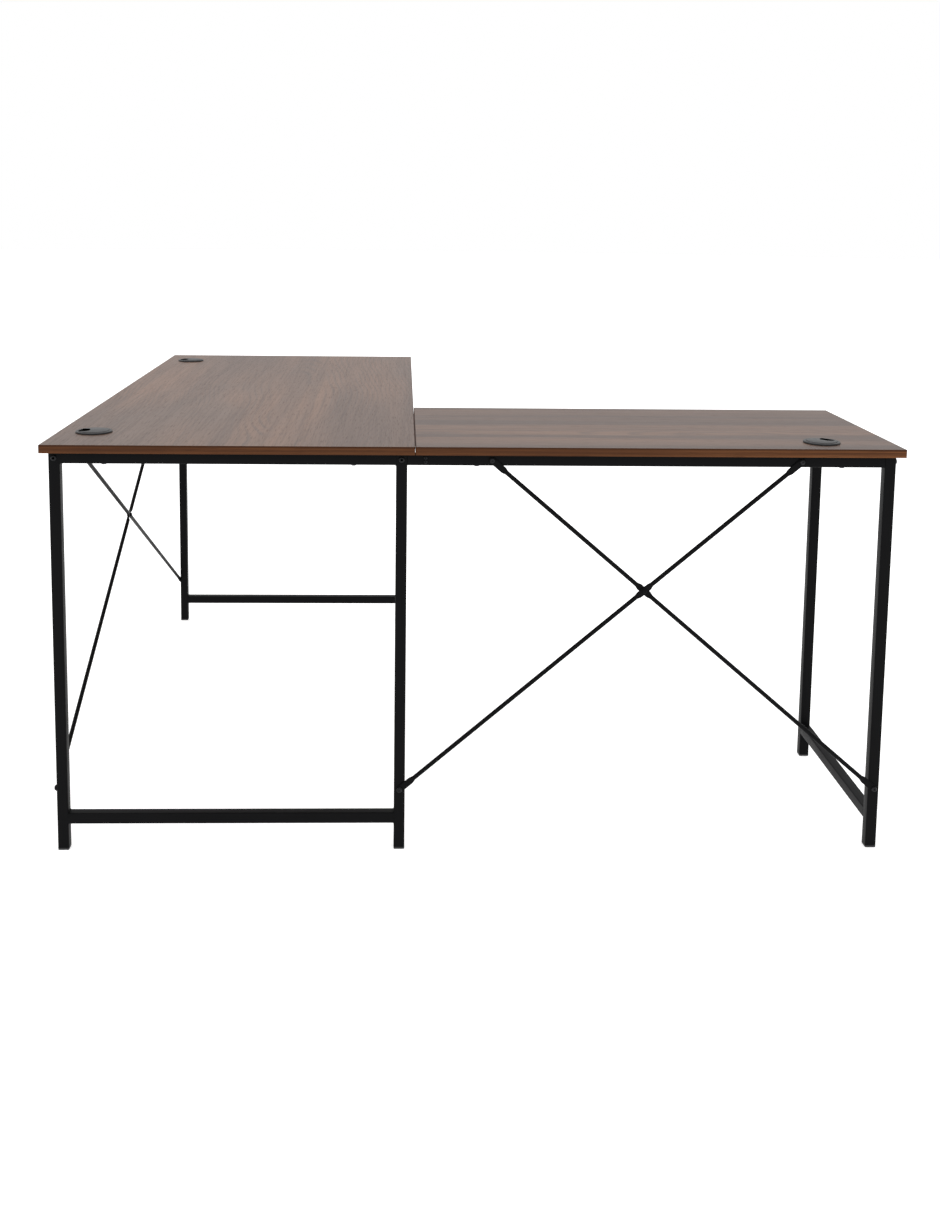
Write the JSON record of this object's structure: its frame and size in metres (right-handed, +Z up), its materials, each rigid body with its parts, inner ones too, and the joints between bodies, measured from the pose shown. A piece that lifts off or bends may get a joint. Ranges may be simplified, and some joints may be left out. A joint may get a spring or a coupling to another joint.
{
  "type": "corner desk",
  "caption": "L-shaped corner desk: two walnut-look boards on black square-tube frames with cross braces and turning round cable grommets.",
  "frame": {"origin": "middle of the bounding box on the floor", "axes": "+X runs along the short wing towards its end frame, +Y along the long wing away from the wall corner, +Z up; the wall corner is at low X and low Y"},
  "size_m": [1.527, 1.37, 0.7541],
  "materials": {
    "walnut_laminate": "satin walnut-grain laminate with matching edge band",
    "black_powder_coat": "satin black powder coat",
    "black_plastic": "satin black moulded plastic",
    "zinc_screw": "black zinc screw head"
  },
  "bodies": {
    "desk": {"corner_grommet_collar": "black_plastic", "end_grommet_collar": "black_plastic", "end_rail": "black_powder_coat", "end_stretcher": "black_powder_coat", "far_board_screw_left": "zinc_screw", "far_board_screw_right": "zinc_screw", "far_corner_foot_cap": "black_plastic", "far_corner_frame_bolt": "black_powder_coat", "far_corner_leg": "black_powder_coat", "far_grommet_collar": "black_plastic", "far_middle_foot_cap": "black_plastic", "far_middle_frame_bolt": "black_powder_coat", "far_middle_leg": "black_powder_coat", "far_rail": "black_powder_coat", "far_stretcher": "black_powder_coat", "front_end_foot_cap": "black_plastic", "front_end_frame_bolt": "black_powder_coat", "front_end_leg": "black_powder_coat", "front_rail_short_wing": "black_powder_coat", "front_rail_spigot": "black_powder_coat", "long_board": "walnut_laminate", "long_wing_brace_centre_rivet": "black_powder_coat", "long_wing_brace_foot_bolt_a": "black_powder_coat", "long_wing_brace_foot_bolt_b": "black_powder_coat", "long_wing_brace_rod_a": "black_powder_coat", "long_wing_brace_rod_b": "black_powder_coat", "long_wing_brace_top_bolt_a": "black_powder_coat", "long_wing_brace_top_bolt_b": "black_powder_coat", "short_board": "walnut_laminate", "short_wing_brace_centre_rivet": "black_powder_coat", "short_wing_brace_foot_bolt_a": "black_powder_coat", "short_wing_brace_foot_bolt_b": "black_powder_coat", "short_wing_brace_rod_a": "black_powder_coat", "short_wing_brace_rod_b": "black_powder_coat", "short_wing_brace_top_bolt_a": "black_powder_coat", "short_wing_brace_top_bolt_b": "black_powder_coat", "side_rail_middle": "black_powder_coat", "side_rail_wall": "black_powder_coat", "spigot_screw_lower": "black_powder_coat", "spigot_screw_upper": "black_powder_coat", "wall_board_screw_long_wing_left": "zinc_screw", "wall_board_screw_long_wing_right": "zinc_screw", "wall_board_screw_short_wing_left": "zinc_screw", "wall_board_screw_short_wing_right": "zinc_screw", "wall_corner_foot_cap": "black_plastic", "wall_corner_frame_bolt": "black_powder_coat", "wall_corner_leg": "black_powder_coat", "wall_end_foot_cap": "black_plastic", "wall_end_frame_bolt": "black_powder_coat", "wall_end_leg": "black_powder_coat", "wall_middle_foot_cap": "black_plastic", "wall_middle_frame_bolt": "black_powder_coat", "wall_middle_leg": "black_powder_coat", "wall_rail_long_wing": "black_powder_coat", "wall_rail_short_wing": "black_powder_coat", "wall_rail_spigot": "black_powder_coat", "wall_stretcher": "black_powder_coat"},
    "corner_cap": {"corner_grommet_cap": "black_plastic"},
    "far_cap": {"far_grommet_cap": "black_plastic"},
    "end_cap": {"end_grommet_cap": "black_plastic"}
  },
  "joints": [
    {"name": "corner_cap_turn", "type": "hinge", "parent": "desk", "child": "corner_cap", "pos_m": [-0.6975, -0.553, 0.75], "axis": [0, 0, 1], "continuous": true},
    {"name": "far_cap_turn", "type": "hinge", "parent": "desk", "child": "far_cap", "pos_m": [-0.6975, 0.553, 0.75], "axis": [0, 0, 1], "continuous": true},
    {"name": "end_cap_turn", "type": "hinge", "parent": "desk", "child": "end_cap", "pos_m": [0.6315, -0.619, 0.75], "axis": [0, 0, 1], "continuous": true}
  ]
}
